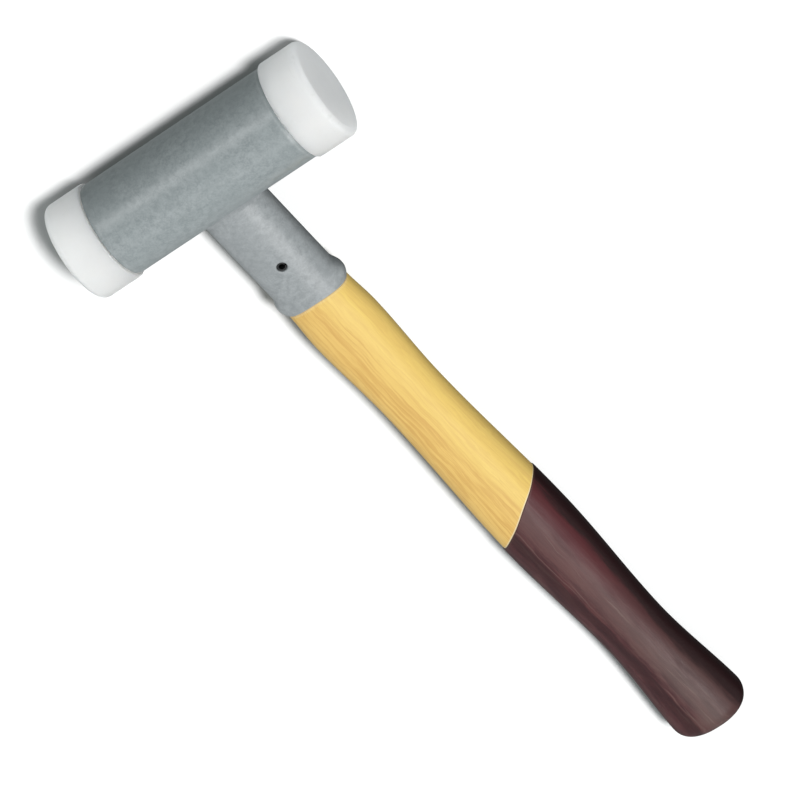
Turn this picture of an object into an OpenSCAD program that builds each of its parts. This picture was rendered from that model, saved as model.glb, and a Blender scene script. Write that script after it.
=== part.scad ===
// Recoilless (dead blow) hammer with soft faces, lying on its side.
// +X runs along the head to the front face, the handle points to -Y, +Z is up.
// The origin is below the middle of the whole hammer, on the surface it lies on.

/* [Head tube] */
// Outside diameter of the steel tube
tube_d = 38; // [34:0.5:39]
// Length of the steel tube
tube_len = 81; // [70:1:100]
// Wall thickness of the tube
tube_wall = 3; // [2.5:0.25:4]
// Length of the bevel round the tube's outer end edges
bevel_len = 1.4; // [0.5:0.1:3]
// Depth of that bevel
bevel_depth = 0.3; // [0.2:0.1:1.2]

/* [Face inserts] */
// Diameter of the striking face
insert_d = 40; // [39:0.5:44]
// Length of the insert that stands out of the tube
insert_len = 16.5; // [12:0.5:25]
// Length of the shank inside the tube
shank_len = 12; // [10:0.5:13]
// Radius of the rounded edge around the face
insert_round = 2.5; // [1.5:0.25:5]
// Radial clearance of the shank in the tube
shank_clear = 0.05; // [0.02:0.01:0.08]

/* [Shot chamber] */
// Thickness of the disc that closes the chamber
bulkhead_t = 4; // [3:0.5:5]
// Diameter of one steel ball
ball_d = 6; // [5.6:0.1:6]
// Gap between neighbouring balls
ball_gap = 0.1; // [0.05:0.05:0.2]
// Number of ball layers along the tube
ball_layers = 7; // [4:1:7]
// Height above the tube axis up to which the chamber is filled
fill_level = 6; // [0:1:9]

/* [Handle socket] */
// Width of the socket along the head
neck_w = 27; // [24:0.2:29]
// Thickness of the socket
neck_t = 17.2; // [15:0.2:20]
// Wall thickness of the socket
neck_wall = 2; // [1.5:0.1:2.5]
// Distance from the head axis to the socket's mouth, at the middle of its flat sides
mouth_v = 70.3; // [65:0.1:77]
// How much lower the mouth is at its two narrow sides
mouth_arch = 1.6; // [0:0.1:4]
// How far the bead at the mouth stands out on the narrow sides
bead_out = 1.6; // [0.5:0.1:2]
// Length of the bead
bead_len = 8.6; // [6:0.1:10]
// Leg length of the weld between socket and tube
weld_leg = 2.2; // [1.5:0.1:4]

/* [Cross pin] */
// Outside diameter of the slotted spring pin
pin_d = 4; // [3:0.5:5]
// Wall thickness of the spring pin
pin_wall = 0.8; // [0.5:0.1:1]
// Width of the slot along the pin
pin_slot = 0.7; // [0.4:0.1:1]
// Distance from the head axis to the pin
pin_v = 48.7; // [40:0.1:54]

/* [Handle] */
// Distance from the head axis to the end of the butt
butt_v = 340; // [320:1:380]
// Handle width at its shoulder below the socket
w_top = 28.8; // [27:0.2:30]
// Handle width at the upper waist
w_waist = 26.3; // [24:0.1:28]
// Handle width at the swell of the grip
w_swell = 30.5; // [28:0.1:34]
// Handle width at the waist of the grip
w_grip = 26.2; // [25:0.2:30]
// Handle width at the butt
w_butt = 32.4; // [29:0.2:36]
// Handle thickness at its shoulder below the socket
t_top = 18.4; // [17:0.2:20]
// Handle thickness at the upper waist
t_waist = 18.2; // [16:0.2:20]
// Handle thickness at the swell of the grip
t_swell = 22; // [19:0.2:25]
// Handle thickness at the waist of the grip
t_grip = 20; // [18:0.2:23]
// Handle thickness at the butt
t_butt = 23.2; // [20:0.2:26]
// Length over which the butt is rounded
butt_round = 9; // [6:0.5:14]

/* [Dip coat] */
// Distance from the head axis to the coat's edge on the handle axis
dip_v = 202.6; // [190:0.1:212]
// Slope of the coat's edge across the width
dip_slope_x = -0.75; // [-0.9:0.01:0]
// Slope of the coat's edge across the thickness
dip_slope_z = -0.14; // [-0.3:0.01:0.3]
// Thickness of the coat
coat_t = 0.3; // [0.2:0.05:0.5]

/* [Hidden] */
$fn = 96;

tube_r = tube_d / 2;
bore_r = tube_r - tube_wall;
insert_r = insert_d / 2;
hz = insert_r;                              // height of the head axis
hy = (butt_v - insert_r) / 2;               // place of the head axis along the handle
fit_gap = 0.06;                             // gap between wood and what surrounds it
wood_v = butt_v - coat_t - fit_gap;         // end of the wood under the coat
bulk_x = tube_len / 2 - shank_len - 0.5;    // outer face of a bulkhead
chamber = 2 * (bulk_x - bulkhead_t);        // free length between the bulkheads
pitch = ball_d + ball_gap;
row_dz = pitch * sqrt(3) / 2;
layer_dx = pitch * sqrt(2 / 3);
n_layers = min(ball_layers, floor((chamber - ball_d) / layer_dx));
ball_reach = bore_r - 0.35 - ball_d / 2;    // furthest ball centre from the tube axis
n_seg = 40;                                 // points round an oval
oval_e = 2.3;                               // exponent of the flattened oval

in_a = neck_w / 2 - neck_wall;              // half width inside the socket
in_c = neck_t / 2 - neck_wall;              // half thickness inside the socket
mouth_in = neck_wall - 0.5;                 // how far the mouth widens inside
tenon_top = tube_r + 3;                     // where the tenon ends, below the tube

// width and thickness stations along the handle: [distance, width, thickness]
stations = [[mouth_v, w_top - 1.8, t_top - 0.8], [91, w_top, t_top], [132, w_waist, t_waist],
            [215, w_swell, t_swell], [282, w_grip, t_grip], [wood_v + 1, w_butt, t_butt]];

// ---------- helpers ----------
function smooth(t) = t * t * (3 - 2 * t);
function seg(v, i = 0) = (i >= len(stations) - 2 || v < stations[i + 1][0]) ? i : seg(v, i + 1);
function along(v, k) =
    let (i = seg(v), p = stations[i], q = stations[i + 1],
         t = min(1, max(0, (v - p[0]) / (q[0] - p[0]))))
    p[k] + (q[k] - p[k]) * smooth(t);
function spow(b, e) = sign(b) * pow(abs(b), e);
function oval_pt(i, a, c) =
    let (f = 360 * i / n_seg) [a * spow(cos(f), 2 / oval_e), c * spow(sin(f), 2 / oval_e)];
// one ring of points at distance v below the head axis; arch lowers its narrow sides
function ring(v, a, c, arch = 0) =
    [for (i = [0 : n_seg - 1]) let (p = oval_pt(i, a, c), q = oval_pt(i, 1, 1))
        [p[0], -(v + arch * q[0] * q[0]), p[1]]];
function join(l) = [for (a = l) for (b = a) b];
function strip(m, wrap = false) =
    [for (j = [0 : m - (wrap ? 1 : 2)]) for (i = [0 : n_seg - 1])
        let (a = j * n_seg, b = ((j + 1) % m) * n_seg, k = (i + 1) % n_seg)
        each [[a + i, b + i, b + k], [a + i, b + k, a + k]]];
function fan(centre, start, flip) =
    [for (i = [0 : n_seg - 1]) let (k = (i + 1) % n_seg)
        flip ? [centre, start + k, start + i] : [centre, start + i, start + k]];

// solid between rings, closed by a fan at both ends
module loft(rings, top, bottom) {
    m = len(rings);
    pts = concat(join(rings), [top, bottom]);
    polyhedron(points = pts, faces = concat(strip(m), fan(m * n_seg, 0, false),
               fan(m * n_seg + 1, (m - 1) * n_seg, true)), convexity = 6);
}
// closed loop of rings, a tube
module ring_loop(rings) {
    polyhedron(points = join(rings), faces = strip(len(rings), true), convexity = 8);
}
module at_head() { translate([0, hy, hz]) children(); }
module along_x() { rotate([0, 90, 0]) children(); }

// ---------- head ----------
module head_housing() color([0.52, 0.55, 0.56])
    at_head() along_x() rotate_extrude()
        polygon([[bore_r, -tube_len / 2], [tube_r - bevel_depth, -tube_len / 2],
                 [tube_r, -tube_len / 2 + bevel_len], [tube_r, tube_len / 2 - bevel_len],
                 [tube_r - bevel_depth, tube_len / 2], [bore_r, tube_len / 2]]);

module bulkhead() {
    r = bore_r - 0.02;
    rotate_extrude() polygon([[0, 0], [r - 0.5, 0], [r, 0.5], [r, bulkhead_t - 0.5],
                              [r - 0.5, bulkhead_t], [0, bulkhead_t]]);
}
module front_bulkhead() color([0.45, 0.46, 0.48])
    at_head() translate([bulk_x - bulkhead_t, 0, 0]) along_x() bulkhead();
module rear_bulkhead() color([0.45, 0.46, 0.48])
    at_head() translate([-bulk_x, 0, 0]) along_x() bulkhead();

// face insert, shank towards -Z, striking face at +insert_len
module insert() {
    s = bore_r - shank_clear;
    rotate_extrude() {
        translate([0, 0.05]) square([insert_r - insert_round, insert_len - 0.05]);
        translate([0, 0.65]) square([insert_r, insert_len - insert_round - 0.65]);
        translate([insert_r - insert_round, insert_len - insert_round])
            intersection() { circle(insert_round); square(insert_round); }
        polygon([[0, 0.05], [insert_r - 0.6, 0.05], [insert_r, 0.65], [0, 0.65]]);
        polygon([[0, -shank_len], [s - 1, -shank_len], [s, 1 - shank_len], [s, 0.1], [0, 0.1]]);
    }
}
module front_insert() color([0.93, 0.93, 0.90])
    at_head() translate([tube_len / 2, 0, 0]) along_x() insert();
module rear_insert() color([0.93, 0.93, 0.90])
    at_head() mirror([1, 0, 0]) translate([tube_len / 2, 0, 0]) along_x() insert();

// balls in close-packed layers across the tube, resting on its lower wall
module shot_layer(odd) {
    z0 = -ball_reach + 0.2 + (odd ? pitch / (2 * sqrt(3)) : 0);
    for (k = [0 : 6]) for (m = [-4 : 4]) {
        y = (m + (k % 2 == 0 ? 0 : 0.5) + (odd ? 0.5 : 0)) * pitch;
        z = z0 + k * row_dz;
        if (z <= fill_level && norm([y, z]) <= ball_reach)
            translate([0, y, z]) sphere(d = ball_d);
    }
}
module shot_charge() color([0.60, 0.61, 0.63])
    at_head() for (j = [0 : n_layers - 1])
        translate([(j - (n_layers - 1) / 2) * layer_dx, 0, 0]) shot_layer(j % 2 == 1);

// ---------- handle socket ----------
bead_v = mouth_v - bead_len;
// outside of the bead: how far it stands out at the share u of its length, on the narrow sides only
function bead(u) = bead_out * (u < 0.54 ? smooth(u / 0.54) : u < 0.64 ? 1 : 1 - 0.92 * pow((u - 0.64) / 0.36, 1.8));
function arch_at(u) = mouth_arch * u;
function bead_ring(u) = [for (i = [0 : n_seg - 1])
    let (q = oval_pt(i, 1, 1), side = smooth(max(0, abs(q[0]) - 0.62) / 0.38))
    [(neck_w / 2 + bead(u) * side) * q[0], -(bead_v + bead_len * u + arch_at(u) * q[0] * q[0]), neck_t / 2 * q[1]]];
socket_out = concat([ring(10, neck_w / 2, neck_t / 2), ring(40, neck_w / 2, neck_t / 2)],
    [for (j = [0 : 12]) bead_ring(j / 12)]);
socket_in = concat(
    [for (j = [4 : -1 : 0]) let (u = j / 4)
        ring(bead_v + 1 + (bead_len - 1) * u, in_a + mouth_in * smooth(u), in_c + mouth_in * smooth(u),
             arch_at(u))],
    [ring(40, in_a, in_c), ring(10, in_a, in_c)]);

module handle_socket() color([0.52, 0.55, 0.56])
    at_head() difference() {
        ring_loop(concat(socket_out, socket_in));
        along_x() cylinder(r = tube_r, h = 60, center = true);
        translate([0, -pin_v, 0]) cylinder(d = pin_d + 0.06, h = 40, center = true);
    }

// weld seam: a rounded fillet that follows the saddle line
function saddle(i, out) =
    let (p = oval_pt(i, neck_w / 2 + out, neck_t / 2 + out)) [p[0], -sqrt(tube_r * tube_r - p[1] * p[1]), p[1]];
function weld_ring(k) = [for (i = [0 : n_seg - 1])
    let (o = [-0.1, 0.28, 0.62, 1, 0.95][k] * weld_leg, d = [1, 0.62, 0.28, 0, -0.1][k] * weld_leg,
         f = k == 0 ? -0.15 : o, p = saddle(i, f)) [p[0], p[1] - (k == 4 ? -0.15 : d), p[2]]];
weld_back = [for (i = [0 : n_seg - 1]) let (p = saddle(i, -0.15)) [p[0], p[1] + 0.15, p[2]]];
module socket_weld() color([0.50, 0.53, 0.54])
    at_head() ring_loop([weld_back, weld_ring(4), weld_ring(3), weld_ring(2), weld_ring(1), weld_ring(0)]);

// ---------- handle ----------
round_v = wood_v - butt_round;
// how much the outline closes in over the rounded butt
function closing(v) = v <= round_v ? 1 : pow(max(0, 1 - pow((v - round_v) / (butt_round * 1.04), 2.8)), 1 / 2.8);
function handle_ring(v, off = 0) =
    let (k = closing(v), push = v <= round_v ? 0 : off * pow((v - round_v) / butt_round, 2))
    ring(v + push, along(v, 1) / 2 * k + off, along(v, 2) / 2 * k + off);
butt_vs = [for (u = [0.2, 0.4, 0.55, 0.68, 0.78, 0.86, 0.92, 0.965, 1]) round_v + butt_round * u];
grip_vs = concat([for (v = [236 : 8 : round_v - 6]) v], [round_v], butt_vs);
shaft_vs = concat([86, 92, 100, 108, 116, 124, 132], [for (v = [143 : 10 : 223]) v], [229]);

// tenon, seat in the flared mouth, then the outside of the handle
tenon = concat(
    [ring(tenon_top, in_a - 1, in_c - 1), ring(tenon_top + 2.5, in_a - fit_gap, in_c - fit_gap)],
    [for (j = [0 : 4]) let (u = j / 4, w = smooth(u) * mouth_in - fit_gap)
        ring(bead_v + 1 + (bead_len - 1) * u, in_a + w, in_c + w, arch_at(u))],
    [ring(mouth_v + 0.6, neck_w / 2 - 0.1, neck_t / 2 - 0.1, mouth_arch),
     ring(mouth_v + 2, along(mouth_v + 2, 1) / 2, along(mouth_v + 2, 2) / 2, mouth_arch * 0.9),
     ring(mouth_v + 6, along(mouth_v + 6, 1) / 2, along(mouth_v + 6, 2) / 2, mouth_arch * 0.4)]);

module hickory_handle() color([0.88, 0.73, 0.42])
    at_head() difference() {
        loft(concat(tenon, [for (v = shaft_vs) handle_ring(v)], [for (v = grip_vs) handle_ring(v)]),
             [0, -tenon_top, 0], [0, -wood_v, 0]);
        translate([0, -pin_v, 0]) cylinder(d = pin_d + 0.06, h = 40, center = true);
    }

// coat edge on the handle's surface, an oblique plane
function dip_edge(i) = let (p = oval_pt(i, along(dip_v, 1) / 2, along(dip_v, 2) / 2))
    dip_v + dip_slope_x * p[0] + dip_slope_z * p[1];
function coat_ring(u, off) = [for (i = [0 : n_seg - 1])
    let (v = dip_edge(i) + (grip_vs[0] - dip_edge(i)) * u, p = oval_pt(i, along(v, 1) / 2 + off, along(v, 2) / 2 + off))
        [p[0], -v, p[1]]];
function coat_side(off) = concat([for (u = [0, 0.25, 0.5, 0.75]) coat_ring(u, off)],
                                 [for (v = grip_vs) handle_ring(v, off)]);
module grip_coat() color([0.25, 0.14, 0.14])
    at_head() {
        o = coat_side(fit_gap + coat_t);
        n = coat_side(fit_gap);
        m = len(o);
        pts = concat(join(n), join(o), [[0, -butt_v, 0], [0, -(wood_v + fit_gap), 0]]);
        inner = [for (f = strip(m)) [f[2], f[1], f[0]]];
        outer = [for (f = strip(m)) [f[0], f[1], f[2]] + m * n_seg * [1, 1, 1]];
        lip = [for (i = [0 : n_seg - 1]) let (k = (i + 1) % n_seg, b = m * n_seg)
                each [[i, b + i, b + k], [i, b + k, k]]];
        polyhedron(points = pts, convexity = 8, faces = concat(inner, outer, lip,
            fan(2 * m * n_seg, (2 * m - 1) * n_seg, true), fan(2 * m * n_seg + 1, (m - 1) * n_seg, false)));
    }

// slotted spring pin, just below flush on both sides
module handle_pin() color([0.16, 0.16, 0.17])
    at_head() translate([0, -pin_v, 0]) difference() {
        cylinder(d = pin_d, h = neck_t - 0.8, center = true);
        cylinder(d = pin_d - 2 * pin_wall, h = neck_t + 2, center = true);
        translate([0, -pin_slot / 2, -neck_t]) cube([pin_d, pin_slot, 2 * neck_t]);
    }

head_housing();
handle_socket();
socket_weld();
front_bulkhead();
rear_bulkhead();
shot_charge();
front_insert();
rear_insert();
hickory_handle();
grip_coat();
handle_pin();
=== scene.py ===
# Recoilless hammer with soft faces, lying on its side on a pale floor.
# Lengths in the mesh code are millimetres from the head's centre: x along the head,
# v along the handle (towards -Y), z up. put() turns them into metres in the shared frame.
import math

import bpy
import numpy as np
from mathutils import Matrix, Vector


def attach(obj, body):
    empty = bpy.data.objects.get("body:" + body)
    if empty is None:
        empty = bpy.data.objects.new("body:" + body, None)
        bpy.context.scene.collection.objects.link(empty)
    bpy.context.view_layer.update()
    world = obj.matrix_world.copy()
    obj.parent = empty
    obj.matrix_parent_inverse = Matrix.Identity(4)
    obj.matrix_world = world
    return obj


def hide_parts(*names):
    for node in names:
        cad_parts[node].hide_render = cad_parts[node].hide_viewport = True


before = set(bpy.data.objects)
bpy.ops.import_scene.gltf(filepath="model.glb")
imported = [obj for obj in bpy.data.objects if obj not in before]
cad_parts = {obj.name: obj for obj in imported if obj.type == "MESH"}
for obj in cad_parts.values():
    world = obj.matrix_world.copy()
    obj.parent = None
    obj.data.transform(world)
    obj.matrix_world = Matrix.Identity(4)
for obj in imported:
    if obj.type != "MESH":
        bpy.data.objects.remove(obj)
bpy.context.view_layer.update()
scene = bpy.context.scene

# ------------------------------------------------------------------ sizes
HEAD = np.array([0.0, 160.0, 20.0])
TUBE_R, TUBE_L, BORE_R = 19.0, 81.0, 16.0
BEVEL_L, BEVEL_D = 1.4, 0.3
INS_R, INS_L, SHANK_R, SHANK_L, INS_ROUND = 20.0, 16.5, 15.95, 12.0, 2.5
NECK_A, NECK_C, NECK_WALL = 13.5, 8.6, 2.0
MOUTH_V, MOUTH_ARCH, BEAD_OUT, BEAD_LEN = 70.3, 1.6, 1.6, 8.6
BEAD_V, FLARE_V = MOUTH_V - BEAD_LEN, MOUTH_V - BEAD_LEN + 1
IN_A, IN_C, MOUTH_IN = NECK_A - NECK_WALL, NECK_C - NECK_WALL, 1.5
WELD = 2.2
PIN_R, PIN_WALL, PIN_SLOT, PIN_V, PIN_HALF, HOLE_R = 2.0, 0.8, 0.7, 48.7, 8.2, 2.03
GAP, COAT = 0.06, 0.3
WOOD_V, BUTT_ROUND = 339.64, 9.0
ROUND_V = WOOD_V - BUTT_ROUND
DIP_V, DIP_SX, DIP_SZ = 202.6, -0.75, -0.14
OVAL = 2.3
STATIONS = [
    (MOUTH_V, 27.0, 17.6),
    (91.0, 28.8, 18.4),
    (132.0, 26.3, 18.2),
    (215.0, 30.5, 22.0),
    (282.0, 26.2, 20.0),
    (WOOD_V + 1, 32.4, 23.2),
]


# ------------------------------------------------------------------ mesh helpers
def smooth(t):
    t = np.clip(t, 0, 1)
    return t * t * (3 - 2 * t)


def along(v, k):
    """Width (k 1) or thickness (k 2) of the handle at v, for arrays too."""
    v = np.asarray(v, float)
    out = np.full(v.shape, STATIONS[0][k], float)
    for p, q in zip(STATIONS, STATIONS[1:]):
        t = smooth((v - p[0]) / (q[0] - p[0]))
        out = np.where(v >= p[0], p[k] + (q[k] - p[k]) * t, out)
    return out


def closing(v):
    u = np.clip((np.asarray(v, float) - ROUND_V) / (BUTT_ROUND * 1.04), 0, None)
    return np.maximum(0, 1 - u**2.8) ** (1 / 2.8)


def oval(n):
    """Unit points of the flattened oval, n of them, spread evenly along it."""
    f = np.linspace(0, 2 * math.pi, 20001)
    x = np.sign(np.cos(f)) * np.abs(np.cos(f)) ** (2 / OVAL)
    z = np.sign(np.sin(f)) * np.abs(np.sin(f)) ** (2 / OVAL)
    d = np.hypot(np.diff(x * 1.5), np.diff(z))
    s = np.concatenate([[0], np.cumsum(d)])
    g = np.interp(np.arange(n) * s[-1] / n, s, f)
    return (
        np.sign(np.cos(g)) * np.abs(np.cos(g)) ** (2 / OVAL),
        np.sign(np.sin(g)) * np.abs(np.sin(g)) ** (2 / OVAL),
    )


def ring(q, v, a, c, arch=0.0):
    return np.stack([a * q[0], -(v + arch * q[0] ** 2), c * q[1]], 1)


def put(name, pts, faces, sharp=30.0):
    """A mesh object from points in millimetres round the head's centre."""
    mesh = bpy.data.meshes.new(name)
    mesh.from_pydata(((np.asarray(pts) + HEAD) * 0.001).tolist(), [], faces)
    mesh.validate()
    obj = bpy.data.objects.new(name, mesh)
    scene.collection.objects.link(obj)
    dress(obj, sharp)
    return obj


def dress(obj, sharp=30.0):
    obj.data.shade_smooth()
    obj.data.set_sharp_from_angle(angle=math.radians(sharp))


def strip(rows, n, wrap=False, flip=False):
    """Quads between rows of n points each."""
    out = []
    for j in range(rows if wrap else rows - 1):
        a, b = j * n, ((j + 1) % rows) * n
        for i in range(n):
            k = (i + 1) % n
            f = (a + i, b + i, b + k, a + k)
            out.append(f[::-1] if flip else f)
    return out


def loft(name, rings, sharp=30.0, ends=True):
    """Closed skin over rings; each end runs in to its own middle point."""
    n = len(rings[0])
    pts = np.concatenate(rings)
    faces = strip(len(rings), n)
    if ends:
        first, last = rings[0].mean(0), rings[-1].mean(0)
        base = len(pts)
        pts = np.concatenate([pts, [first, last]])
        top = (len(rings) - 1) * n
        faces += [(base, i, (i + 1) % n) for i in range(n)]
        faces += [(base + 1, top + (i + 1) % n, top + i) for i in range(n)]
    return put(name, pts, faces, sharp)


def turn(profile, n):
    """Rings round the X axis from (x, r) pairs."""
    f = np.arange(n) * 2 * math.pi / n
    return [np.stack([np.full(n, x), r * np.cos(f), r * np.sin(f)], 1) for x, r in profile]


def arc(cx, cr, rad, a0, a1, k):
    """(x, r) points of an arc, angles in degrees from the +x direction."""
    return [
        (cx + rad * math.cos(math.radians(a)), cr + rad * math.sin(math.radians(a)))
        for a in np.linspace(a0, a1, k)
    ]


def bend(p, q, s, k):
    """Curve from p to s that turns at q."""
    t = np.linspace(0, 1, k)[:, None]
    p, q, s = (np.array(w, float) for w in (p, q, s))
    return [tuple(w) for w in (1 - t) ** 2 * p + 2 * t * (1 - t) * q + t**2 * s]


def spread(p, q, k):
    """k points after p up to q on a straight line."""
    return [
        (p[0] + (q[0] - p[0]) * t, p[1] + (q[1] - p[1]) * t)
        for t in np.linspace(0, 1, k + 1)[1:]
    ]


def cut(obj, profile, sharp=30.0, n=72):
    """Drills obj along Z at the pin's place with a turned cutter, (z, r) pairs from bottom to top."""
    f = np.arange(n) * 2 * math.pi / n
    rings = [
        np.stack([r * np.cos(f), -PIN_V + r * np.sin(f), np.full(n, z)], 1) for z, r in profile
    ]
    pts = np.concatenate(rings)
    faces = [q[::-1] for q in strip(len(rings), n)]
    faces.append(tuple(range(n))[::-1])
    faces.append(tuple(range((len(rings) - 1) * n, len(rings) * n)))
    tool = put("cutter", pts, [tuple(q) for q in faces])
    mod = obj.modifiers.new("hole", "BOOLEAN")
    mod.operation, mod.solver, mod.object = "DIFFERENCE", "EXACT", tool
    graph = bpy.context.evaluated_depsgraph_get()
    made = bpy.data.meshes.new_from_object(obj.evaluated_get(graph))
    obj.modifiers.clear()
    old, obj.data = obj.data, made
    bpy.data.meshes.remove(old)
    made.name = obj.name
    mesh = tool.data
    bpy.data.objects.remove(tool)
    bpy.data.meshes.remove(mesh)
    dress(obj, sharp)


def points(obj):
    """Vertices in millimetres round the head's centre."""
    co = np.zeros(len(obj.data.vertices) * 3)
    obj.data.vertices.foreach_get("co", co)
    return co.reshape(-1, 3) * 1000 - HEAD


def mark(obj, name, values):
    """Stores a number per vertex for the material to read."""
    att = obj.data.attributes.new(name, "FLOAT", "POINT")
    att.data.foreach_set("value", np.ascontiguousarray(values, np.float32))


# ------------------------------------------------------------------ head tube
def make_housing():
    e, r1 = TUBE_L / 2, TUBE_R - BEVEL_D
    half = [(0.0, TUBE_R)]
    half += spread(half[-1], (e - BEVEL_L - 0.8, TUBE_R), 24)
    half += bend((e - BEVEL_L - 0.45, TUBE_R), (e - BEVEL_L, TUBE_R), (e - BEVEL_L + 0.42, TUBE_R - 0.42 * BEVEL_D / BEVEL_L), 7)
    half += spread(half[-1], (e - 0.35, r1 + 0.35 * BEVEL_D / BEVEL_L), 5)
    half += bend(half[-1], (e, r1), (e, r1 - 0.3), 6)[1:]
    half += spread(half[-1], (e, BORE_R + 0.35), 3)
    half += bend(half[-1], (e, BORE_R), (e - 0.35, BORE_R), 5)[1:]
    half += spread(half[-1], (0.0, BORE_R), 12)[:-1]
    other = [(-x, r) for x, r in half[::-1]]
    mid_in = [(0.0, BORE_R)]
    prof = half + mid_in + other[:-1]
    rings = turn(prof, 224)
    obj = put("head_tube", np.concatenate(rings), strip(len(rings), 224, wrap=True, flip=True), 40)
    p = points(obj)
    rad = np.hypot(p[:, 1], p[:, 2])
    # painted glint: a light line along the bevel crest, stronger on the front end, with light wear on the tube's end
    # rim
    crest = np.exp(-(((np.abs(p[:, 0]) - (e - BEVEL_L)) / 0.42) ** 2)) * (rad > 18.6)
    rim = np.exp(-(((np.abs(p[:, 0]) - e) / 0.3) ** 2)) * (rad > 17.6)
    mark(obj, "wear_and_glint", np.clip(np.where(p[:, 0] > 0, 0.28, 0.08) * crest + 0.12 * rim, 0, 1))
    return obj


# ------------------------------------------------------------------ socket, weld, pin
def bead(u):
    u = np.asarray(u, float)
    return BEAD_OUT * np.where(
        u < 0.54, smooth(u / 0.54), np.where(u < 0.64, 1.0, 1 - 0.92 * (np.clip(u - 0.64, 0, 1) / 0.36) ** 1.8)
    )


def make_socket():
    n = 240
    q = oval(n)
    # the bead swells on the two narrow sides only
    side = smooth((np.abs(q[0]) - 0.62) / 0.38)

    def saddle(a, c):
        return np.sqrt(TUBE_R**2 - (c * q[1]) ** 2)

    rings = []
    # outside, from the tube down to the bead
    s = saddle(NECK_A, NECK_C)
    for t in np.linspace(0, 1, 44):
        v = s + (BEAD_V - s) * t
        rings.append(np.stack([NECK_A * q[0], -v, NECK_C * q[1]], 1))
    for u in np.linspace(0, 1, 40)[1:-1]:
        rings.append(ring(q, BEAD_V + BEAD_LEN * u, NECK_A + float(bead(u)) * side, NECK_C, MOUTH_ARCH * u))
    # rounded lip of the mouth
    oa, oc = NECK_A + float(bead(1.0)) * side, NECK_C
    ia, ic = IN_A + MOUTH_IN, IN_C + MOUTH_IN
    for g in np.linspace(-80, 80, 9):
        w = 0.5 - 0.5 * math.sin(math.radians(g))
        drop = 0.32 * (1 - math.cos(math.radians(g)))
        rings.append(
            ring(q, MOUTH_V - drop, ia + (oa - ia) * w, ic + (oc - ic) * w, MOUTH_ARCH)
        )
    for u in np.linspace(1, 0, 18)[1:]:
        w = MOUTH_IN * float(smooth(u))
        rings.append(ring(q, FLARE_V + (MOUTH_V - FLARE_V) * u, IN_A + w, IN_C + w, MOUTH_ARCH * u))
    s = saddle(IN_A, IN_C)
    for t in np.linspace(0, 1, 26)[1:]:
        v = FLARE_V + (s - FLARE_V) * t
        rings.append(np.stack([IN_A * q[0], -v, IN_C * q[1]], 1))
    obj = put("handle_socket_shell", np.concatenate(rings), strip(len(rings), n, wrap=True), 42)
    top = NECK_C + 0.02
    cut(
        obj,
        [(-14, 8), (-top, HOLE_R + 0.28), (-top + 0.12, HOLE_R + 0.13), (-top + 0.35, HOLE_R),
         (top - 0.35, HOLE_R), (top - 0.12, HOLE_R + 0.13), (top, HOLE_R + 0.28), (14, 8)],
        42,
    )
    p = points(obj)
    v = -p[:, 1]
    out = np.clip(np.abs(p[:, 0]) / NECK_A, 0, 1.2)
    crest = np.exp(-(((v - (BEAD_V + 6.0)) / 1.3) ** 2)) * smooth((out - 0.85) / 0.25)
    lip = np.exp(-(((v - (MOUTH_V + MOUTH_ARCH * out**2)) / 0.35) ** 2))
    mark(obj, "wear_and_glint", np.clip(0.3 * crest + 0.4 * lip, 0, 1))
    return obj


def make_weld():
    n, k = 320, 15
    q = oval(n)
    turnf = np.arctan2(q[1], q[0])
    # a painted-over seam: its leg and its crown vary a little from bead to bead
    leg = WELD * (0.93 + 0.05 * np.sin(5 * turnf + 0.6) + 0.03 * np.sin(13 * turnf + 2.1))
    rows = []
    for j, g in enumerate(np.linspace(0, 1, k)):
        ph = math.pi / 2 * (1 - g)
        ripple = 0.05 * math.sin(math.pi * g) * np.sin(46 * turnf + 2.2 * g)
        out = leg * (1 - math.sin(ph)) - ripple * 0.7
        down = leg * (1 - math.cos(ph)) - ripple * 0.7
        if j == 0:
            out = out - 0.08
        a, c = NECK_A + out, NECK_C + out
        x, z = a * q[0], c * q[1]
        y = -np.sqrt(np.maximum(TUBE_R**2 - z**2, 1)) - down
        if j == k - 1:
            y = y + 0.08
        rows.append(np.stack([x, y, z], 1))
    a, c = NECK_A - 0.15, NECK_C - 0.15
    x, z = a * q[0], c * q[1]
    rows.append(np.stack([x, -np.sqrt(TUBE_R**2 - z**2) + 0.15, z], 1))
    obj = put("socket_weld_seam", np.concatenate(rows), strip(len(rows), n, wrap=True, flip=True), 60)
    p = points(obj)
    mark(obj, "wear_and_glint", np.zeros(len(p)))
    return obj


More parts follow.
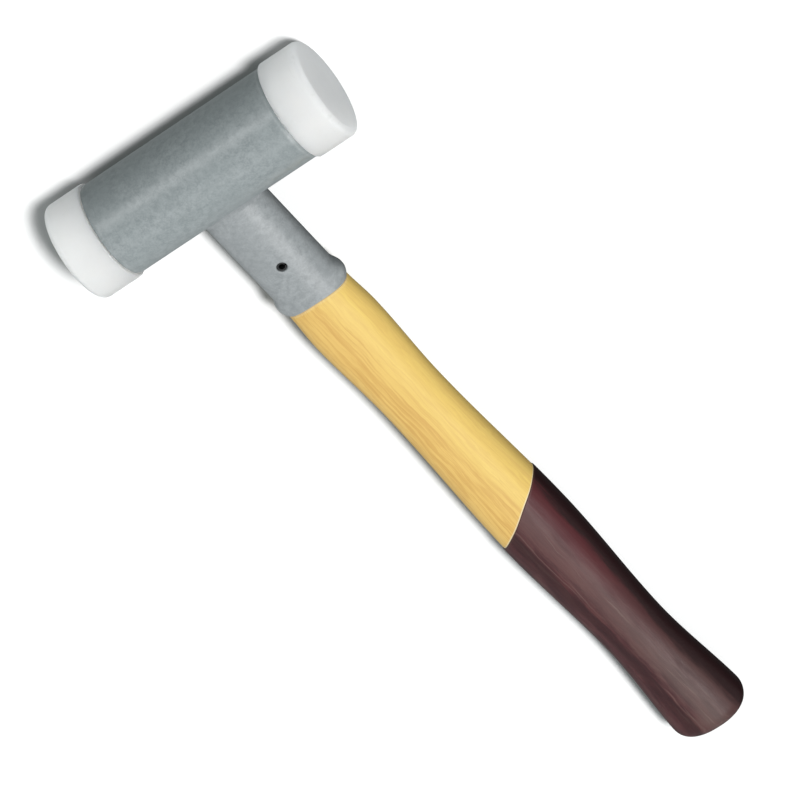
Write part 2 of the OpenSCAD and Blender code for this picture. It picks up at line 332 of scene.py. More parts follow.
def make_pin():
    n = 72
    gap = math.asin(PIN_SLOT / 2 / PIN_R)
    ri = PIN_R - PIN_WALL
    gi = math.asin(PIN_SLOT / 2 / ri)

    def section(ro, rin):
        fo = np.linspace(gap, 2 * math.pi - gap, n)
        fi = np.linspace(2 * math.pi - gi, gi, n)
        x = np.concatenate([ro * np.cos(fo), rin * np.cos(fi)])
        y = np.concatenate([ro * np.sin(fo), rin * np.sin(fi)])
        return np.stack([x, y - PIN_V], 1)

    h = PIN_HALF
    levels = [(-h, PIN_R - 0.32, ri + 0.12), (-h + 0.1, PIN_R - 0.16, ri), (-h + 0.45, PIN_R, ri)]
    levels += [(z, PIN_R, ri) for z in np.linspace(-h + 1.5, h - 1.5, 12)]
    levels += [(h - 0.45, PIN_R, ri), (h - 0.1, PIN_R - 0.16, ri), (h, PIN_R - 0.32, ri + 0.12)]
    rows = []
    for z, ro, rin in levels:
        s = section(ro, rin)
        rows.append(np.column_stack([s, np.full(len(s), z)]))
    m = 2 * n
    pts = np.concatenate(rows)
    faces = [f[::-1] for f in strip(len(rows), m)]
    last = (len(rows) - 1) * m
    for i in range(n - 1):
        a, b = i, i + 1
        c, d = 2 * n - 2 - i, 2 * n - 1 - i
        faces.append((a, d, c, b))
        faces.append((last + a, last + b, last + c, last + d))
    return put("slotted_pin", pts, faces, 25)


# ------------------------------------------------------------------ face inserts
def make_insert(name, side):
    e = TUBE_L / 2
    f = e + INS_L
    prof = [(f, 0.4)]
    prof += spread(prof[-1], (f, INS_R - INS_ROUND - 0.2), 16)
    prof += arc(f - INS_ROUND, INS_R - INS_ROUND, INS_ROUND, 0, 90, 18)
    prof += spread(prof[-1], (e + 1.0, INS_R), 14)
    prof += bend((e + 0.75, INS_R), (e + 0.08, INS_R), (e + 0.05, INS_R - 0.7), 7)
    prof += spread(prof[-1], (e + 0.05, SHANK_R + 0.3), 3)
    prof += bend(prof[-1], (e + 0.05, SHANK_R), (e - 0.25, SHANK_R), 5)[1:]
    prof += spread(prof[-1], (e - SHANK_L + 1.0, SHANK_R), 10)
    prof += spread(prof[-1], (e - SHANK_L, SHANK_R - 1.0), 3)
    prof += spread(prof[-1], (e - SHANK_L, 0.4), 6)
    rings = turn(prof, 224)
    n = 224
    pts = np.concatenate(rings + [[[f, 0, 0], [e - SHANK_L, 0, 0]]])
    base = len(rings) * n
    faces = [q for q in strip(len(rings), n, flip=True)]
    faces += [(base, i, (i + 1) % n) for i in range(n)]
    top = (len(rings) - 1) * n
    faces += [(base + 1, top + (i + 1) % n, top + i) for i in range(n)]
    pts[:, 0] *= side
    if side < 0:
        faces = [q[::-1] for q in faces]
    obj = put(name, pts, faces, 40)
    p = points(obj)
    rad = np.hypot(p[:, 1], p[:, 2])
    ax = np.abs(p[:, 0])
    edge = np.exp(-(((rad - (INS_R - 0.8)) / 1.1) ** 2)) * (ax > f - 3.5)
    mark(obj, "edge", edge)
    mark(obj, "face", (ax > f - 0.01).astype(float))
    return obj


# ------------------------------------------------------------------ handle and coat
def dip_edge(x, z, f):
    return DIP_V + DIP_SX * x + DIP_SZ * z + 0.16 * np.sin(3 * f + 0.7) + 0.1 * np.sin(7 * f + 2.0)


def butt_levels(k):
    return [ROUND_V + BUTT_ROUND * math.sin(math.pi / 2 * t) for t in np.linspace(0, 1, k)][1:]


def handle_ring(q, v, off=0.0):
    k = float(closing(v))
    push = 0 if v <= ROUND_V else off * ((v - ROUND_V) / BUTT_ROUND) ** 2
    return ring(q, v + push, float(along(v, 1)) / 2 * k + off, float(along(v, 2)) / 2 * k + off)


def make_handle():
    n = 176
    q = oval(n)
    top = TUBE_R + 3
    rings = [ring(q, top, (IN_A - 1) * t, (IN_C - 1) * t) for t in (0.06, 0.35, 0.7, 0.95)]
    rings += [ring(q, top + 0.15, IN_A - 1, IN_C - 1), ring(q, top + 2.5, IN_A - GAP, IN_C - GAP)]
    rings += [ring(q, v, IN_A - GAP, IN_C - GAP) for v in np.linspace(27, FLARE_V - 1, 22)]
    for u in np.linspace(0, 1, 12):
        w = float(smooth(u)) * MOUTH_IN - GAP
        rings.append(ring(q, FLARE_V + (MOUTH_V - FLARE_V) * u, IN_A + w, IN_C + w, MOUTH_ARCH * u))
    # shoulder, rounded where it comes out of the socket
    a1, c1 = NECK_A - 0.1, NECK_C - 0.1
    rings.append(ring(q, MOUTH_V + 0.22, a1 - 0.22, c1 - 0.22, MOUTH_ARCH))
    rings.append(ring(q, MOUTH_V + 0.38, a1 - 0.08, c1 - 0.08, MOUTH_ARCH))
    rings.append(ring(q, MOUTH_V + 0.65, a1, c1, MOUTH_ARCH))
    v2 = MOUTH_V + 2
    a2, c2 = float(along(v2, 1)) / 2, float(along(v2, 2)) / 2
    for t in (0.3, 0.65):
        rings.append(ring(q, MOUTH_V + 0.65 + (v2 - MOUTH_V - 0.65) * t, a1 + (a2 - a1) * t, c1 + (c2 - c1) * t,
                          MOUTH_ARCH * (1 - 0.1 * t)))
    for v in np.arange(v2, 86.1, 0.9):
        t = smooth((v - v2) / (86.0 - v2))
        rings.append(ring(q, v, float(along(v, 1)) / 2, float(along(v, 2)) / 2, MOUTH_ARCH * 0.9 * (1 - float(t))))
    rings += [handle_ring(q, v) for v in np.arange(87.0, ROUND_V, 1.4)]
    rings += [handle_ring(q, v) for v in [ROUND_V] + butt_levels(26)]
    end = rings[-1]
    for t in (0.8, 0.5, 0.2):
        rings.append(np.stack([end[:, 0] * t, end[:, 1], end[:, 2] * t], 1))
    obj = loft("wood_handle", rings, 50)
    cut(obj, [(-14, HOLE_R), (14, HOLE_R)], 50)
    p = points(obj)
    f = np.arctan2(p[:, 2] * 1.45, p[:, 0])
    mark(obj, "dip", -p[:, 1] - dip_edge(p[:, 0], p[:, 2], f))
    mark(obj, "neck", -p[:, 1] - MOUTH_V - MOUTH_ARCH * np.clip(p[:, 0] / 13.4, -1, 1) ** 2)
    return obj


def make_coat():
    n = 240
    q = oval(n)
    f = np.arctan2(q[1], q[0])
    edge = dip_edge(q[0] * float(along(DIP_V, 1)) / 2, q[1] * float(along(DIP_V, 2)) / 2, f)
    start = 236.0

    def at(v, off):
        return np.stack([(along(v, 1) / 2 + off) * q[0], -v, (along(v, 2) / 2 + off) * q[1]], 1)

    rows = []
    near = [0.0, 0.03, 0.09, 0.18, 0.3, 0.45, 0.62, 0.8, 1.05, 1.5, 2.2, 3.0, 4.0]
    for s in near:
        lift = COAT * math.sqrt(max(0.0, 1 - (1 - min(s / 0.8, 1)) ** 2))
        rows.append(at(edge + s, GAP + lift))
    for t in np.linspace(0, 1, 26)[1:]:
        rows.append(at(edge + 4 + (start - edge - 4) * t, GAP + COAT))
    rows += [handle_ring(q, v, GAP + COAT) for v in np.arange(start + 1.4, ROUND_V, 1.4)]
    rows += [handle_ring(q, v, GAP + COAT) for v in [ROUND_V] + butt_levels(26)]
    end = rows[-1]
    for t in (0.85, 0.6, 0.35, 0.1, 0.02):
        rows.append(np.stack([end[:, 0] * t, end[:, 1], end[:, 2] * t], 1))
    # inside, back from the butt to the edge
    inner_end = handle_ring(q, WOOD_V, GAP)
    for t in (0.02, 0.3, 0.7):
        rows.append(np.stack([inner_end[:, 0] * t, inner_end[:, 1], inner_end[:, 2] * t], 1))
    rows += [handle_ring(q, v, GAP) for v in butt_levels(16)[::-1] + [ROUND_V]]
    rows += [handle_ring(q, v, GAP) for v in np.arange(ROUND_V - 3, start, -4.0)]
    for t in np.linspace(1, 0, 10)[:-1]:
        rows.append(at(edge + 0.05 + (start - edge - 0.05) * t, GAP))
    m = len(rows)
    # the skin is one loop of rows; the two smallest rows at the butt are capped, not joined
    small = [i for i in range(m) if np.ptp(rows[i][:, 0]) < 0.6]
    pts = np.concatenate(rows)
    faces = []
    for j in range(m):
        if j == small[0]:
            continue
        a, b = j * n, ((j + 1) % m) * n
        for i in range(n):
            k = (i + 1) % n
            faces.append((a + i, b + i, b + k, a + k))
    c0, c1 = len(pts), len(pts) + 1
    pts = np.concatenate([pts, [rows[small[0]].mean(0), rows[small[1]].mean(0)]])
    a, b = small[0] * n, small[1] * n
    for i in range(n):
        k = (i + 1) % n
        faces.append((c0, a + k, a + i))
        faces.append((c1, b + i, b + k))
    obj = put("dip_coat_skin", pts, faces, 50)
    p = points(obj)
    g = np.arctan2(p[:, 2] * 1.4, p[:, 0])
    mark(obj, "dip", -p[:, 1] - dip_edge(p[:, 0], p[:, 2], g))
    mark(obj, "side", p[:, 0] / (along(-p[:, 1], 1) / 2 + GAP + COAT))
    mark(obj, "end", smooth((-p[:, 1] - WOOD_V + 5) / 4))
    return obj


# ------------------------------------------------------------------ material helpers
class Net:
    """A material with a Principled shader and short ways to add nodes to it."""

    def __init__(self, name):
        self.mat = bpy.data.materials.new(name)
        self.mat.use_nodes = True
        self.tree = self.mat.node_tree
        self.tree.nodes.clear()
        out = self.tree.nodes.new("ShaderNodeOutputMaterial")
        self.bsdf = self.tree.nodes.new("ShaderNodeBsdfPrincipled")
        self.tree.links.new(self.bsdf.outputs["BSDF"], out.inputs["Surface"])

    def feed(self, socket, value):
        if isinstance(value, bpy.types.NodeSocket):
            self.tree.links.new(value, socket)
        elif isinstance(value, (tuple, list)) and len(value) == 3 and socket.type == "RGBA":
            socket.default_value = (*value, 1.0)
        else:
            socket.default_value = value

    def set(self, **values):
        for key, value in values.items():
            self.feed(self.bsdf.inputs[key.replace("_", " ")], value)

    def coord(self):
        return self.tree.nodes.new("ShaderNodeTexCoord").outputs["Object"]

    def scaled(self, vec, scale, loc=(0, 0, 0), rot=(0, 0, 0)):
        node = self.tree.nodes.new("ShaderNodeMapping")
        self.feed(node.inputs["Vector"], vec)
        node.inputs["Scale"].default_value = scale
        node.inputs["Location"].default_value = loc
        node.inputs["Rotation"].default_value = rot
        return node.outputs["Vector"]

    def noise(self, vec, scale=1.0, detail=2.0, rough=0.5, warp=0.0):
        node = self.tree.nodes.new("ShaderNodeTexNoise")
        self.feed(node.inputs["Vector"], vec)
        for key, value in (("Scale", scale), ("Detail", detail), ("Roughness", rough), ("Distortion", warp)):
            node.inputs[key].default_value = value
        return node.outputs["Fac"]

    def cells(self, vec, scale=1.0, kind="F1"):
        node = self.tree.nodes.new("ShaderNodeTexVoronoi")
        node.feature = kind
        self.feed(node.inputs["Vector"], vec)
        node.inputs["Scale"].default_value = scale
        return node.outputs["Distance"]

    def math(self, op, a, b=0.0, c=0.0):
        node = self.tree.nodes.new("ShaderNodeMath")
        node.operation = op
        for socket, value in zip(node.inputs, (a, b, c)):
            self.feed(socket, value)
        return node.outputs["Value"]

    def span(self, value, lo, hi, to_lo=0.0, to_hi=1.0, kind="LINEAR"):
        node = self.tree.nodes.new("ShaderNodeMapRange")
        node.interpolation_type = kind
        for key, v in (("Value", value), ("From Min", lo), ("From Max", hi), ("To Min", to_lo), ("To Max", to_hi)):
            self.feed(node.inputs[key], v)
        return node.outputs["Result"]

    def mix(self, fac, a, b, how="MIX"):
        node = self.tree.nodes.new("ShaderNodeMix")
        node.data_type, node.blend_type = "RGBA", how
        self.feed(node.inputs[0], fac)
        self.feed(node.inputs[6], a)
        self.feed(node.inputs[7], b)
        return node.outputs[2]

    def ramp(self, fac, stops):
        node = self.tree.nodes.new("ShaderNodeValToRGB")
        el = node.color_ramp.elements
        while len(el) < len(stops):
            el.new(0.5)
        for e, (pos, col) in zip(el, stops):
            e.position = pos
            e.color = (*col, 1.0)
        self.feed(node.inputs["Fac"], fac)
        return node.outputs["Color"]

    def parts(self, vec):
        node = self.tree.nodes.new("ShaderNodeSeparateXYZ")
        self.feed(node.inputs[0], vec)
        return node.outputs["X"], node.outputs["Y"], node.outputs["Z"]

    def join(self, x, y, z):
        node = self.tree.nodes.new("ShaderNodeCombineXYZ")
        for socket, value in zip(node.inputs, (x, y, z)):
            self.feed(socket, value)
        return node.outputs["Vector"]

    def attr(self, name):
        node = self.tree.nodes.new("ShaderNodeAttribute")
        node.attribute_name = name
        return node.outputs["Fac"]

    def bump(self, height, strength, depth, below=None):
        node = self.tree.nodes.new("ShaderNodeBump")
        node.inputs["Strength"].default_value = strength
        node.inputs["Distance"].default_value = depth
        self.feed(node.inputs["Height"], height)
        if below is not None:
            self.feed(node.inputs["Normal"], below)
        return node.outputs["Normal"]


# ------------------------------------------------------------------ materials
def grey_enamel(name, dark, light, mean):
    g = Net(name)
    p = g.coord()
    blotch = g.noise(p, 420, 3, 0.55, 0.4)
    speck = g.noise(p, 1500, 3, 0.6)
    broad = g.noise(p, 60, 2, 0.5)
    tone = g.math("ADD", g.math("MULTIPLY", blotch, 0.55), g.math("MULTIPLY", speck, 0.45))
    fac = g.span(tone, 0.38, 0.62)
    col = g.mix(fac, dark, light)
    col = g.mix(g.span(broad, 0.3, 0.7, 0.0, 0.5), col, mean)
    # lighter paint where the mesh marks it: rubbed edges, and on the tube a painted glint along the bevel crest
    rub_and_glint = g.math("MULTIPLY", g.attr("wear_and_glint"), g.span(g.noise(p, 700, 3, 0.6), 0.3, 0.6, 0.35, 1.0))
    col = g.mix(rub_and_glint, col, (0.56, 0.58, 0.58))
    rough = g.span(speck, 0.3, 0.7, 0.28, 0.38)
    peel = g.bump(g.noise(p, 520, 2, 0.5), 0.35, 0.00005)
    fine = g.bump(g.noise(p, 2600, 2, 0.5), 0.12, 0.00002, peel)
    g.set(Base_Color=col, Roughness=rough, Normal=fine)
    return g.mat


def nylon():
    g = Net("satin_nylon")
    p = g.coord()
    cloud = g.noise(p, 70, 3, 0.5)
    fine = g.noise(p, 900, 3, 0.6)
    col = g.mix(g.span(cloud, 0.3, 0.7), (0.759, 0.749, 0.746), (0.793, 0.783, 0.780))
    col = g.mix(g.span(fine, 0.55, 0.8, 0.0, 0.18), col, (0.740, 0.732, 0.725))
    # faint scuffs, mostly round the rim of the face
    scuff = g.span(g.noise(g.scaled(p, (1.0, 1.0, 0.35)), 260, 4, 0.65, 0.6), 0.60, 0.72)
    scuff = g.math("MULTIPLY", scuff, g.span(g.attr("edge"), 0.0, 1.0, 0.05, 0.35))
    col = g.mix(scuff, col, (0.52, 0.52, 0.50))
    # turning marks: rings on the face, fine grooves round the side
    x, y, z = g.parts(g.scaled(p, (1000, 1000, 1000), (0, -160, -20)))
    rad = g.math("SQRT", g.math("ADD", g.math("MULTIPLY", y, y), g.math("MULTIPLY", z, z)))
    groove = g.math("SINE", g.math("MULTIPLY", g.math("ADD", rad, x), 14.0))
    marks = g.bump(groove, 0.10, 0.000004)
    skin = g.bump(fine, 0.12, 0.00002, marks)
    g.set(
        Base_Color=col, Roughness=g.span(fine, 0.3, 0.7, 0.40, 0.52), Normal=skin,
        Subsurface_Weight=1.0, Subsurface_Scale=0.014,
    )
    g.bsdf.inputs["Subsurface Radius"].default_value = (1.0, 0.98, 0.95)
    return g.mat


def wood_figure(g):
    """Ring phase, fibre and pore patterns of one plank, shared by the bare and the coated wood."""
    p = g.scaled(g.coord(), (1000, 1000, 1000))
    drift = g.noise(g.scaled(p, (0.045, 0.009, 0.045)), 1, 2, 0.5)
    wave = g.noise(g.scaled(p, (0.16, 0.045, 0.16), (3, 7, 1)), 1, 3, 0.55)
    x, y, z = g.parts(p)
    dx = g.math("ADD", g.math("ADD", g.math("ADD", x, -8.5), g.math("MULTIPLY", y, 0.014)), g.span(drift, 0, 1, -5, 5))
    dz = g.math("ADD", z, 6.0)
    r = g.math("SQRT", g.math("ADD", g.math("MULTIPLY", dx, dx), g.math("MULTIPLY", dz, dz)))
    r = g.math("ADD", r, g.span(wave, 0, 1, -1.3, 1.3))
    phase = g.math("FRACT", g.math("DIVIDE", r, 1.7))
    # the grain wanders a little from side to side
    p = g.join(g.math("ADD", x, g.span(wave, 0.2, 0.8, -1.0, 1.0)), y, z)
    fibre = g.noise(g.scaled(p, (2.6, 0.06, 2.6)), 1, 4, 0.6)
    streak = g.noise(g.scaled(p, (0.55, 0.02, 0.55), (5, 2, 9)), 1, 3, 0.55)
    pore = g.noise(g.scaled(p, (3.4, 0.16, 3.4), (11, 4, 2)), 1, 2, 0.5)
    return p, phase, fibre, streak, pore, drift


def hickory():
    g = Net("lacquered_hickory")
    p, phase, fibre, streak, pore, drift = wood_figure(g)
    late = g.ramp(phase, [(0.0, (0.25, 0.25, 0.25)), (0.12, (0, 0, 0)), (0.55, (0.12, 0.12, 0.12)),
                          (0.88, (0.85, 0.85, 0.85)), (0.97, (1, 1, 1)), (1.0, (0.3, 0.3, 0.3))])
    x = g.parts(p)[0]
    heart = g.span(g.math("ADD", x, g.span(drift, 0.25, 0.75, -5.0, 5.0)), -7.0, 4.0, kind="SMOOTHSTEP")
    base = g.mix(heart, (0.860, 0.570, 0.180), (0.900, 0.643, 0.178))
    base = g.mix(g.span(streak, 0.34, 0.66, 0.30, 0.0), base, (0.815, 0.525, 0.152))
    base = g.mix(g.math("MULTIPLY", late, g.span(heart, 0.0, 1.0, 0.20, 0.08)), base, (0.650, 0.380, 0.105))
    thread = g.noise(g.scaled(p, (1.05, 0.022, 1.05), (2, 5, 3)), 1, 4, 0.6, 0.3)
    thread = g.math("MULTIPLY", g.span(thread, 0.47, 0.60), g.span(heart, 0.0, 1.0, 0.52, 0.20))
    base = g.mix(thread, base, (0.660, 0.375, 0.105))
    lone = g.noise(g.scaled(p, (0.78, 0.014, 0.78), (8, 3, 5)), 1, 3, 0.55, 0.3)
    lone = g.math("MULTIPLY", g.span(lone, 0.53, 0.60), g.span(heart, 0.0, 1.0, 0.45, 0.12))
    base = g.mix(lone, base, (0.620, 0.335, 0.090))
    base = g.mix(g.span(fibre, 0.30, 0.66, 0.24, 0.0), base, (0.640, 0.385, 0.105))
    dash = g.math("MULTIPLY", g.span(pore, 0.62, 0.74), g.span(phase, 0.1, 0.55, 1.0, 0.35))
    base = g.mix(g.math("MULTIPLY", dash, 0.22), base, (0.440, 0.235, 0.070))
    # painted highlights: paler rims where the wood meets the coat and the socket
    rim = g.span(g.attr("dip"), -0.85, -0.25, 0.0, 0.80)
    base = g.mix(rim, base, (0.93, 0.80, 0.55))
    lip = g.span(g.attr("neck"), 0.2, 1.4, 0.45, 0.0)
    base = g.mix(lip, base, (0.90, 0.70, 0.42))
    rough = g.span(fibre, 0.3, 0.7, 0.46, 0.36)
    grain = g.bump(fibre, 0.18, 0.00004)
    dents = g.bump(pore, 0.12, 0.00003, grain)
    g.set(Base_Color=base, Roughness=rough, Normal=dents, Specular_IOR_Level=0.3)
    return g.mat


def dip_coat():
    g = Net("dip_lacquer")
    p, phase, fibre, streak, pore, drift = wood_figure(g)
    late = g.span(phase, 0.5, 0.95, 0.0, 1.0)
    col = g.mix(g.span(streak, 0.3, 0.7), (0.050, 0.0060, 0.0105), (0.084, 0.0170, 0.0205))
    col = g.mix(g.math("MULTIPLY", late, 0.35), col, (0.030, 0.0040, 0.0070))
    col = g.mix(g.span(fibre, 0.46, 0.72, 0.0, 0.55), col, (0.120, 0.046, 0.042))
    # cloudy patches, drawn out along the handle
    patch = g.noise(g.scaled(p, (0.30, 0.045, 0.30), (4, 9, 6)), 1, 4, 0.6)
    col = g.mix(g.span(patch, 0.36, 0.54, 0.60, 0.0), col, (0.028, 0.0032, 0.0060))
    col = g.mix(g.span(patch, 0.52, 0.70, 0.0, 0.45), col, (0.110, 0.044, 0.037))
    # pale hairs of grain, long and thin, brightest over the middle and fading towards the butt: grain plus a painted
    # sheen along the grain
    grain_hair_sheen = g.noise(g.scaled(p, (0.95, 0.0075, 0.95), (7, 1, 4)), 1, 2, 0.5, 0.2)
    pale = g.span(g.math("ABSOLUTE", g.math("ADD", g.attr("side"), -0.05)), 0.15, 0.60, 1.0, 0.25)
    grain_hair_sheen = g.math("MULTIPLY", g.span(grain_hair_sheen, 0.575, 0.675, 0.0, 0.50), g.math("MULTIPLY", pale, g.span(g.attr("end"), 0.0, 1.0, 1.0, 0.0)))
    # painted highlight: a lighter, browner base over the middle of the broad faces, where the highlight falls
    painted_highlight_mask = g.math("ABSOLUTE", g.math("ADD", g.attr("side"), -0.16))
    highlight_brown = g.mix(g.span(g.attr("dip"), 30, 110), (0.144, 0.062, 0.058), (0.136, 0.084, 0.074))
    painted_highlight_mask = g.math("ADD", painted_highlight_mask, g.span(patch, 0.3, 0.7, 0.10, -0.10))
    col = g.mix(g.span(painted_highlight_mask, 0.10, 0.50, 0.55, 0.0, kind="SMOOTHSTEP"), col, highlight_brown)
    col = g.mix(grain_hair_sheen, col, (0.190, 0.115, 0.100))
    # painted shade: a darker band beside the middle, along the whole handle
    painted_shade_band = g.math("ABSOLUTE", g.math("ADD", g.math("ADD", g.attr("side"), 0.46), g.span(streak, 0.2, 0.8, -0.12, 0.12)))
    col = g.mix(g.span(painted_shade_band, 0.06, 0.20, 0.60, 0.0, kind="SMOOTHSTEP"), col, (0.022, 0.0022, 0.0042))
    # painted shade: the coat turns almost black along one narrow side, along the whole handle
    painted_shade_side = g.math("ADD", g.attr("side"), g.span(streak, 0.2, 0.8, -0.06, 0.06))
    painted_shade_side = g.math("ADD", painted_shade_side, g.math("ADD", g.span(patch, 0.3, 0.7, -0.06, 0.06), g.span(g.attr("dip"), 10, 110, -0.06, 0.05)))
    # painted shade: the flank next to the dark side turns a deeper red-brown, browner towards the butt
    flank_shade = g.math("MULTIPLY", g.span(g.attr("side"), 0.30, 0.55), g.span(streak, 0.3, 0.7, 0.55, 0.85))
    edge = g.mix(g.span(g.attr("dip"), 35, 105), (0.092, 0.0055, 0.0105), (0.074, 0.0290, 0.0260))
    col = g.mix(flank_shade, col, edge)
    col = g.mix(g.span(painted_shade_side, 0.70, 0.86, kind="SMOOTHSTEP"), col, (0.019, 0.0008, 0.0018))
    lip = g.span(g.attr("dip"), 0.0, 1.0, 0.4, 0.0)
    col = g.mix(lip, col, (0.12, 0.065, 0.05))
    rough = g.math("ADD", g.span(fibre, 0.3, 0.7, 0.36, 0.52), g.span(patch, 0.35, 0.65, 0.07, -0.05))
    grain = g.bump(fibre, 0.45, 0.00006)
    dents = g.bump(streak, 0.40, 0.00016, grain)
    g.set(Base_Color=col, Roughness=rough, Normal=dents, Specular_IOR_Level=0.42)
    return g.mat


def steel(name, low, high, rough, rings, metal):
    """Turned (rings over 0), plain or blackened steel."""
    g = Net(name)
    p = g.coord()
    cloud = g.noise(p, 300, 4, 0.6)
    col = g.mix(g.span(cloud, 0.3, 0.7), low, high)
    x, y, z = g.parts(g.scaled(p, (1000, 1000, 1000), (0, -160, -20)))
    height = g.noise(p, 1600, 3, 0.6)
    if rings:
        rad = g.math("SQRT", g.math("ADD", g.math("MULTIPLY", y, y), g.math("MULTIPLY", z, z)))
        height = g.math("ADD", height, g.math("SINE", g.math("MULTIPLY", rad, rings)))
    g.set(
        Base_Color=col, Metallic=metal, Roughness=g.span(cloud, 0.3, 0.7, rough, rough + 0.14),
        Normal=g.bump(height, 0.15, 0.00001),
    )
    return g.mat


# ------------------------------------------------------------------ pieces
enamel = grey_enamel("mottled_enamel", (0.240, 0.268, 0.276), (0.352, 0.382, 0.392), (0.286, 0.318, 0.326))
# painted light: a lighter, more neutral copy of the same grey enamel for the socket and seam, which are painted as one
# with the tube
enamel_socket_lit_copy = grey_enamel("socket_enamel_lit_copy", (0.266, 0.283, 0.293), (0.384, 0.402, 0.414), (0.318, 0.336, 0.347))
white = nylon()
wood = hickory()
lacquer = dip_coat()
black = steel("blackened_steel", (0.006, 0.006, 0.007), (0.016, 0.016, 0.018), 0.5, 0, 0.0)
turned = steel("turned_steel", (0.40, 0.41, 0.42), (0.52, 0.53, 0.54), 0.28, 9.0, 1.0)
shot = steel("shot_steel", (0.46, 0.46, 0.47), (0.60, 0.60, 0.61), 0.2, 0, 1.0)

for obj, body, node, slot, mat in (
    (make_housing(), "hammer", "head_housing", "grey_paint", enamel),
    (make_socket(), "hammer", "handle_socket", "grey_paint", enamel_socket_lit_copy),
    (make_weld(), "hammer", "socket_weld", "grey_paint", enamel_socket_lit_copy),
    (make_insert("front_face_insert", 1), "front_face", "front_insert", "nylon", white),
    (make_insert("rear_face_insert", -1), "rear_face", "rear_insert", "nylon", white),
    (make_handle(), "hammer", "hickory_handle", "hickory", wood),
    (make_coat(), "hammer", "grip_coat", "dip_coat", lacquer),
    (make_pin(), "hammer", "handle_pin", "pin_steel", black),
):
    obj.data.materials.clear()
    obj.data.materials.append(mat)
    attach(obj, body)
    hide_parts(node)

for node, mat in (("front_bulkhead", turned), ("rear_bulkhead", turned), ("shot_charge", shot)):
    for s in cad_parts[node].material_slots:
        s.material = mat

# ------------------------------------------------------------------ floor, light, camera
# the hammer rests on its two inserts and its butt, so the floor rises a little towards the butt,
# and runs out level further away
RISE = 0.0245
n = 96
ang = np.arange(n) * 2 * math.pi / n
pts, faces = [(0.0, 0.16, -0.00002)], []
far = [(0.45, 0.45), (0.6, 0.54), (0.8, 0.57), (1.2, 0.5), (2.5, 0.25), (6.0, 0.0), (40.0, 0.0)]
for r, h in far:
    pts += [(r * math.cos(a), 0.16 + r * math.sin(a), -RISE * h * math.sin(a) - 0.00002) for a in ang]
faces += [(0, 1 + i, 1 + (i + 1) % n) for i in range(n)]
for k in range(len(far) - 1):
    a, b = 1 + k * n, 1 + (k + 1) * n
    faces += [(a + i, b + i, b + (i + 1) % n, a + (i + 1) % n) for i in range(n)]
mesh = bpy.data.meshes.new("floor")
mesh.from_pydata(pts, [], faces)
floor = bpy.data.objects.new("floor", mesh)
scene.collection.objects.link(floor)
g = Net("pale_floor")
tint = g.noise(g.coord(), 4, 2, 0.5)
g.set(Base_Color=g.mix(tint, (0.500, 0.500, 0.500), (0.510, 0.510, 0.510)), Roughness=0.9, Specular_IOR_Level=0.0)
mesh.materials.append(g.mat)

# the floor takes its own lamp and throws nothing back, so that it stays white and the underside stays dark
floor.visible_glossy = False
floor.visible_diffuse = False
floor.visible_shadow = False


def group(name, objects):
    """A set of pieces that a lamp may light."""
    coll = bpy.data.collections.new(name)
    for obj in objects:
        coll.objects.link(obj)
    return coll


def sun(name, toward, energy, degrees, on, tint=(1.0, 1.0, 1.0)):
    light = bpy.data.lights.new(name, "SUN")
    light.energy, light.angle, light.color = energy, math.radians(degrees), tint
    lamp = bpy.data.objects.new(name, light)
    toward = Vector(toward).normalized()
    lamp.rotation_mode = "QUATERNION"
    lamp.rotation_quaternion = toward.to_track_quat("Z", "Y")
    lamp.location = toward * 2.0
    lamp.light_linking.receiver_collection = on
    scene.collection.objects.link(lamp)


solid = [obj for obj in scene.objects if obj.type == "MESH" and obj is not floor]
lit = group("lit_pieces", solid)
sun("key", (0.15, -0.30, 0.942), 1.72, 40, lit, (1.0, 0.985, 0.985))
sun("fill", (-0.27, 0.71, 0.652), 0.52, 20, lit)
# soft light thrown back by the pale surroundings
for name, part, toward, energy, tint in (
    ("front_bounce", "front_face_insert", (0.94, 0.00, -0.34), 1.26, (0.96, 1.0, 1.03)),
    ("front_side_bounce", "front_face_insert", (-0.10, 0.95, -0.08), 0.70, (0.97, 1.0, 1.02)),
    ("rear_side_bounce", "rear_face_insert", (-0.30, 0.90, -0.08), 0.80, (0.97, 1.0, 1.02)),
    ("wood_bounce", "wood_handle", (0.95, 0.08, -0.15), 0.50, (1.0, 1.0, 1.0)),
):
    sun(name, toward, energy, 40, group(name + "_on", [obj for obj in solid if obj.name == part]), tint)
ground = group("ground", [floor])
# a long lamp, drawn out along the handle
for i, slope in enumerate((0.16, 0.26, 0.36)):
    sun("floor_lamp_%d" % i, (0.438, slope, 1.0), 2.05, 9, ground)

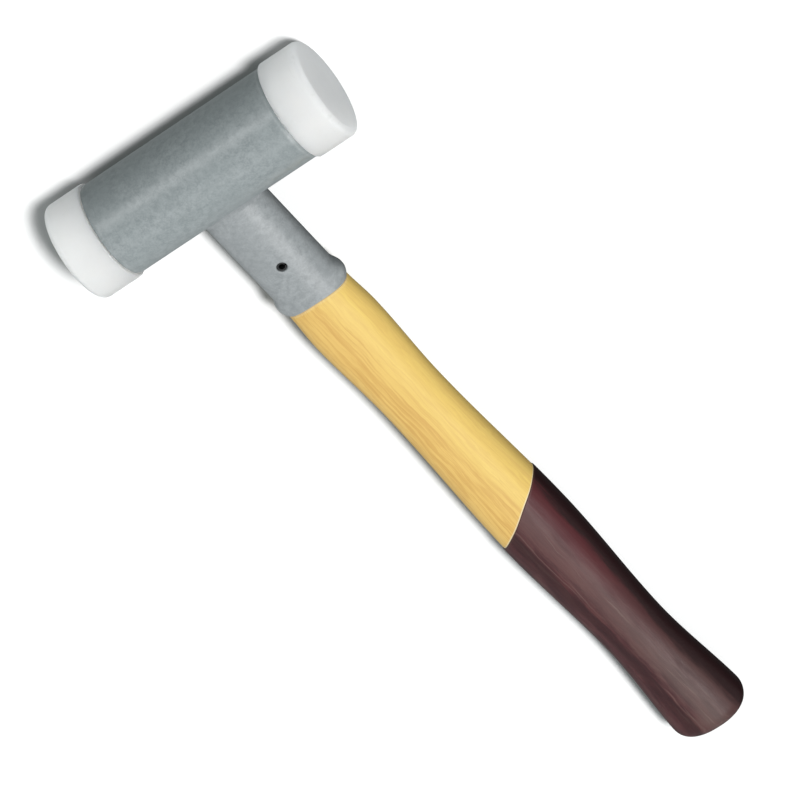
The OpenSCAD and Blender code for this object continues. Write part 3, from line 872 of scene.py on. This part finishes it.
world = bpy.data.worlds.new("studio")
world.use_nodes = True
tree = world.node_tree
tree.nodes.clear()
out = tree.nodes.new("ShaderNodeOutputWorld")
back = tree.nodes.new("ShaderNodeBackground")
ramp = tree.nodes.new("ShaderNodeValToRGB")
sep = tree.nodes.new("ShaderNodeSeparateXYZ")
span = tree.nodes.new("ShaderNodeMapRange")
where = tree.nodes.new("ShaderNodeTexCoord")
tree.links.new(where.outputs["Generated"], sep.inputs[0])
tree.links.new(sep.outputs["Z"], span.inputs["Value"])
span.inputs["From Min"].default_value = -1
span.inputs["From Max"].default_value = 1
tree.links.new(span.outputs["Result"], ramp.inputs["Fac"])
el = ramp.color_ramp.elements
stops = [(0.0, 0.32), (0.475, 0.32), (0.495, 1.10), (0.513, 1.10), (0.53, 0.40), (0.68, 0.42), (0.80, 0.49), (1.0, 0.49)]
while len(el) < len(stops):
    el.new(0.5)
for e, (pos, val) in zip(el, stops):
    e.position = pos
    e.color = (val, val, val, 1) if val > 1 else (0.925 * val, val, 0.99 * val, 1)
# what comes up from below is weaker on the front face's side
gain = tree.nodes.new("ShaderNodeMapRange")
tree.links.new(sep.outputs["X"], gain.inputs["Value"])
for key, val in (("From Min", -0.3), ("From Max", 0.15), ("To Min", 1.0), ("To Max", 0.22)):
    gain.inputs[key].default_value = val
low = tree.nodes.new("ShaderNodeMapRange")
tree.links.new(sep.outputs["Z"], low.inputs["Value"])
for key, val in (("From Min", -0.06), ("From Max", -0.008), ("To Max", 1.0)):
    low.inputs[key].default_value = val
tree.links.new(gain.outputs["Result"], low.inputs["To Min"])
tree.links.new(ramp.outputs["Color"], back.inputs["Color"])
tree.links.new(low.outputs["Result"], back.inputs["Strength"])
tree.links.new(back.outputs["Background"], out.inputs["Surface"])
scene.world = world

cam = bpy.data.cameras.new("camera")
cam.lens, cam.sensor_width = 270.0, 36.0
cam.clip_start, cam.clip_end = 0.05, 200.0
eye = bpy.data.objects.new("camera", cam)
right = Vector((0.807292, -0.578671, 0.115839))
up = Vector((0.521847, 0.608302, -0.598034))
aft = Vector((0.275600, 0.543238, 0.793055))
eye.matrix_world = Matrix(
    (
        (right.x, up.x, aft.x, 0.613607),
        (right.y, up.y, aft.y, 1.247573),
        (right.z, up.z, aft.z, 1.800774),
        (0, 0, 0, 1),
    )
)
scene.collection.objects.link(eye)
scene.camera = eye
scene.view_settings.view_transform = "Standard"
